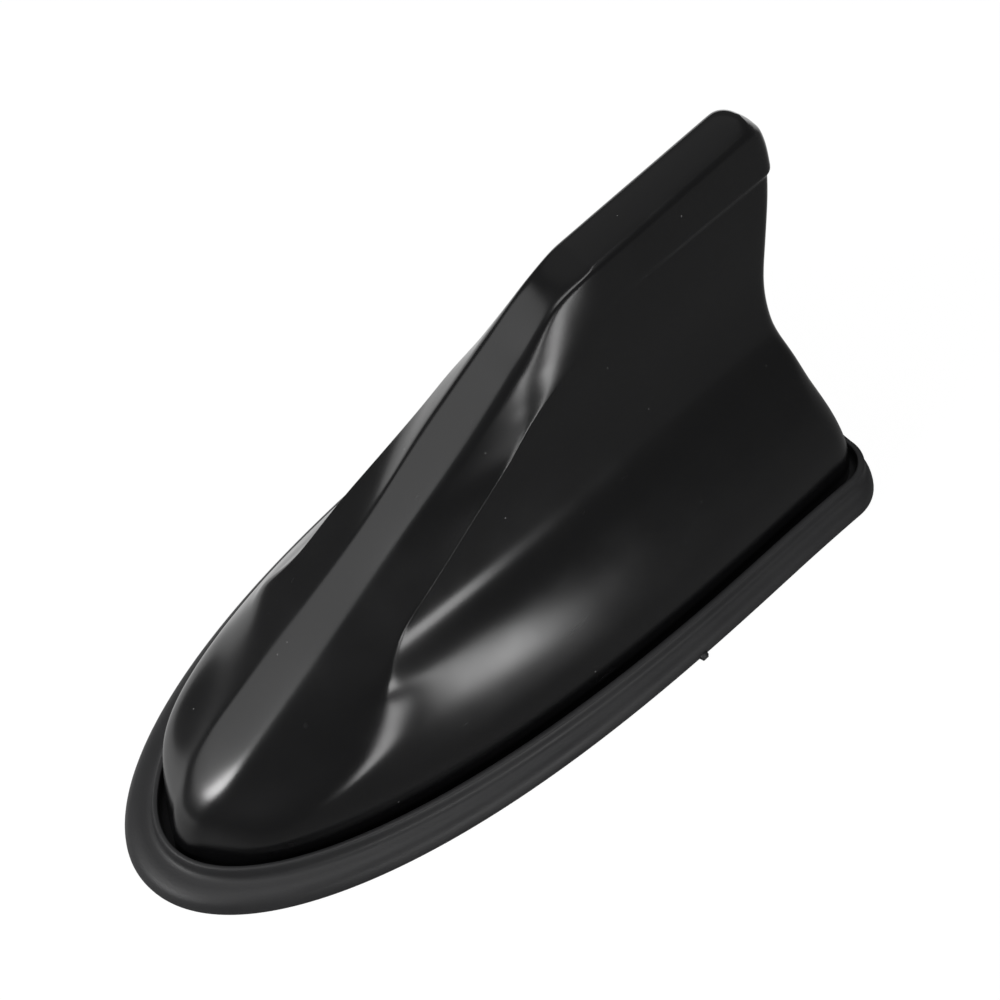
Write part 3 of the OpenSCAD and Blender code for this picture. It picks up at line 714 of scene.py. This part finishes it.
helix = shape_node("GeometryNodeCurveSpiral", {
    "Rotations": sizes_in["Turns"], "Start Radius": sizes_in["Radius"],
    "End Radius": sizes_in["Radius"], "Height": sizes_in["Rise"]},
    {"Resolution": STEPS_PER_TURN})
wire_ring = shape_node("GeometryNodeCurvePrimitiveCircle", {
    "Radius": sizes_in["Wire Radius"]}, {"Resolution": RING_CORNERS})
swept = shape_node("GeometryNodeCurveToMesh", {
    "Curve": helix, "Profile Curve": wire_ring}, {"Fill Caps": True})
placed = shape_node("GeometryNodeTransform", {"Geometry": swept},
                    {"Translation": coil_foot})
whole = shape_node("GeometryNodeRealizeInstances", {"Geometry": placed})
coated = shape_node("GeometryNodeSetMaterial", {"Geometry": whole},
                    {"Material": copper.material})
winding.links.new(coated, winding.nodes.new("NodeGroupOutput").inputs["Geometry"])

former = bpy.data.objects.new("coil_former", bpy.data.meshes.new("coil_former"))
bpy.context.collection.objects.link(former)
wind = former.modifiers.new("winding", "NODES")
wind.node_group = winding
for label, value in coil_sizes.items():
    wind[size_keys[label]] = float(value)
wound = bpy.data.meshes.new_from_object(
    former.evaluated_get(bpy.context.evaluated_depsgraph_get()))
bpy.data.objects.remove(former)
wound.name = "coil_wire"
wound.polygons.foreach_set("use_smooth", [True] * len(wound.polygons))
coil = bpy.data.objects.new("coil_wire", wound)
bpy.context.collection.objects.link(coil)
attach(coil, "root")
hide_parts("loading_coil")

# Stage and view
# A pale floor and soft lamps, which the gloss reflects, and the photograph's view. The floor is
# white to the camera and behind the aerial. On the near side, reflections see a dim glow instead
# of its lit shade: a painted dark reflection.

FLOOR_GREY = (0.8, 0.8, 0.8, 1)
WHITE = (1, 1, 1, 1)
FLOOR_HALF = 3
# Brightness of the painted dark reflection that the near side of the floor shows to glossy rays.
PAINTED_REFLECTION_STRENGTH = 0.2
WHITE_STRENGTH = 1.03
WORLD_STRENGTH = 0.15
WHITE_SHARE = 0.95
FAR_SIDE = (-0.02, 0.05)

floor_paint = Finish("studio_floor", Base_Color=FLOOR_GREY, Roughness=0.9)
seen, glossy, through = (
    floor_paint.node("ShaderNodeLightPath", {}, {}, f"Is {ray} Ray")
    for ray in ("Camera", "Glossy", "Transmission"))
# Painted dark reflection: on the near side, glossy rays see this dim glow and not the lit floor.
painted_dim_reflection, white = (
    floor_paint.node("ShaderNodeEmission", {}, {"Color": WHITE, "Strength": strength}, "Emission")
    for strength in (PAINTED_REFLECTION_STRENGTH, WHITE_STRENGTH))
far_side = floor_paint.between(floor_paint.along("Y"), *FAR_SIDE)
share = (seen * WHITE_SHARE + through + glossy * far_side).maths("MINIMUM", 1.0)
matte = floor_paint.node("ShaderNodeMixShader", {}, {
    0: glossy, 1: Wire(floor_paint, floor_paint.shader.outputs[0]), 2: painted_dim_reflection}, "Shader")
mixed = floor_paint.node("ShaderNodeMixShader", {}, {
    0: share, 1: matte, 2: white}, "Shader")
floor_paint.tree.links.new(
    mixed.socket, floor_paint.tree.nodes["Material Output"].inputs["Surface"])
floor_corners = [(x * FLOOR_HALF, y * FLOOR_HALF, 0)
                 for x, y in ((-1, -1), (1, -1), (1, 1), (-1, 1))]
floor = new_piece("floor", floor_corners, [(0, 1, 2, 3)], floor_paint.material, smooth=False)

world = bpy.data.worlds.new("studio")
bpy.context.scene.world = world
world.use_nodes = True
sky = world.node_tree.nodes["Background"].inputs
sky["Color"].default_value = WHITE
sky["Strength"].default_value = WORLD_STRENGTH

LAMP_AIM = Vector((0, 0, 0.02))


def lamp(name, direction, distance, width, height, power):
    """Soft box at a direction from the aerial, facing it."""
    light = bpy.data.lights.new(name, "AREA")
    light.shape = "RECTANGLE"
    light.size = width
    light.size_y = height
    light.energy = power
    box = bpy.data.objects.new(name, light)
    bpy.context.collection.objects.link(box)
    away = Vector(direction).normalized()
    box.location = LAMP_AIM + away * distance
    box.rotation_mode = "QUATERNION"
    box.rotation_quaternion = away.to_track_quat("Z", "Y")


lamp("back_box", (-0.55, 0.55, 0.65), distance=1.2, width=0.85, height=0.85, power=3.0)
lamp("top_box", (0.45, 0.5, 0.75), distance=1.2, width=0.8, height=0.8, power=0.35)
lamp("overhead_box", (0.0, -0.15, 1), distance=1.2, width=0.7, height=0.5, power=4.0)
lamp("near_box", (-0.2, -0.94, 0.29), distance=0.36, width=0.1, height=0.1, power=0.24)
lamp("low_box", (0.16, -0.98, 0.09), distance=0.3, width=0.06, height=0.07, power=0.13)
lamp("nose_box", (-0.80, 0.22, 0.54), distance=0.6, width=0.16, height=0.16, power=1.7)

LENS_PX = 2499.0
FRAME_PX = 1000
SENSOR = 36
CAMERA_AZIMUTH = math.radians(-40.42)
CAMERA_TILT = math.radians(51.73)
CAMERA_ROLL = math.radians(-6.302)
CAMERA_DISTANCE = 419.4
AIM = Vector((-1.0, 0, 22.0))
SLIDE_RIGHT = 7.657
SLIDE_UP = 7.331
back = Vector((math.sin(CAMERA_AZIMUTH) * math.cos(CAMERA_TILT),
               -math.cos(CAMERA_AZIMUTH) * math.cos(CAMERA_TILT), math.sin(CAMERA_TILT)))
level_right = (-back).cross(Vector((0, 0, 1))).normalized()
level_up = level_right.cross(-back)
right = math.cos(CAMERA_ROLL) * level_right + math.sin(CAMERA_ROLL) * level_up
up = math.cos(CAMERA_ROLL) * level_up - math.sin(CAMERA_ROLL) * level_right
spot = AIM + back * CAMERA_DISTANCE + SLIDE_RIGHT * right + SLIDE_UP * up
facing = Matrix((right, up, back)).transposed().to_4x4()
camera_data = bpy.data.cameras.new("photo_view")
camera_data.sensor_width = SENSOR
camera_data.lens = SENSOR * LENS_PX / FRAME_PX
camera_data.clip_start = 0.01
camera_data.clip_end = 20
camera = bpy.data.objects.new("photo_view", camera_data)
bpy.context.collection.objects.link(camera)
camera.matrix_world = Matrix.Translation(spot * MM) @ facing
bpy.context.scene.camera = camera
bpy.context.scene.view_settings.view_transform = "Standard"
